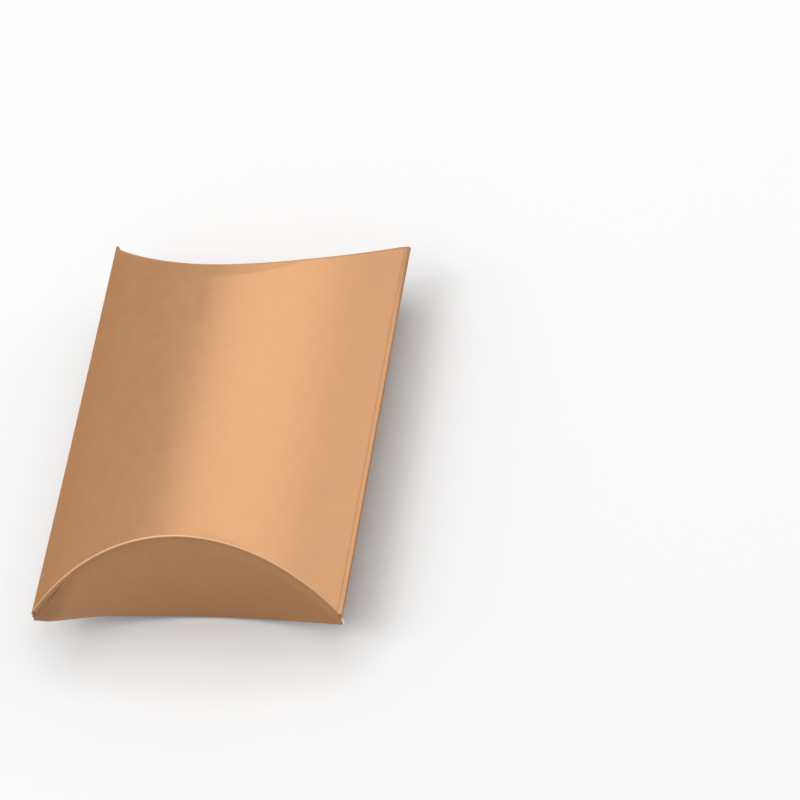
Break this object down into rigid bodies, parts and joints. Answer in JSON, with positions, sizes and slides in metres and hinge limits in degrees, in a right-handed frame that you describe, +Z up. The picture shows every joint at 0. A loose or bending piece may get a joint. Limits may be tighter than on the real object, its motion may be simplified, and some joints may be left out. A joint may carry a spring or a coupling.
{
  "type": "pillow box",
  "caption": "Folded card gift box with bowed top and bottom panels and lens-shaped end flaps that swing open on curved creases; glued along one side.",
  "frame": {"origin": "on the lowest line of the bottom panel, under the middle of the box", "axes": "+Z up, +Y along the box from the front end to the rear end, +X towards the glued seam"},
  "size_m": [0.068, 0.09, 0.0252],
  "materials": {
    "rose_gold_card": "satin metallic",
    "white_card": "matt",
    "glue": "satin"
  },
  "bodies": {
    "tube": {"top_panel": "rose_gold_card", "bottom_panel": "rose_gold_card", "side_fold": "rose_gold_card", "seam_fold": "rose_gold_card", "glue_tab": "white_card", "glue_film": "glue", "front_top_crease": "rose_gold_card", "front_bottom_crease": "rose_gold_card", "rear_top_crease": "rose_gold_card", "rear_bottom_crease": "rose_gold_card"},
    "front_outer": {"front_outer_flap": "rose_gold_card"},
    "front_inner": {"front_inner_flap": "rose_gold_card"},
    "rear_outer": {"rear_outer_flap": "rose_gold_card"},
    "rear_inner": {"rear_inner_flap": "rose_gold_card"}
  },
  "joints": [
    {"name": "front_outer_fold", "type": "hinge", "parent": "tube", "child": "front_outer", "pos_m": [0, -0.0328, 0.0252], "axis": [-1, 0, 0], "range_deg": [0, 120]},
    {"name": "front_inner_fold", "type": "hinge", "parent": "tube", "child": "front_inner", "pos_m": [0, -0.0328, 0], "axis": [1, 0, 0], "range_deg": [0, 84]},
    {"name": "rear_outer_fold", "type": "hinge", "parent": "tube", "child": "rear_outer", "pos_m": [0, 0.0328, 0.0252], "axis": [1, 0, 0], "range_deg": [0, 120]},
    {"name": "rear_inner_fold", "type": "hinge", "parent": "tube", "child": "rear_inner", "pos_m": [0, 0.0328, 0], "axis": [-1, 0, 0], "range_deg": [0, 84]}
  ],
  "couplings": [
    {"joint": "front_inner_fold", "follows": "front_outer_fold", "ratio": 0.7},
    {"joint": "rear_inner_fold", "follows": "rear_outer_fold", "ratio": 0.7}
  ]
}
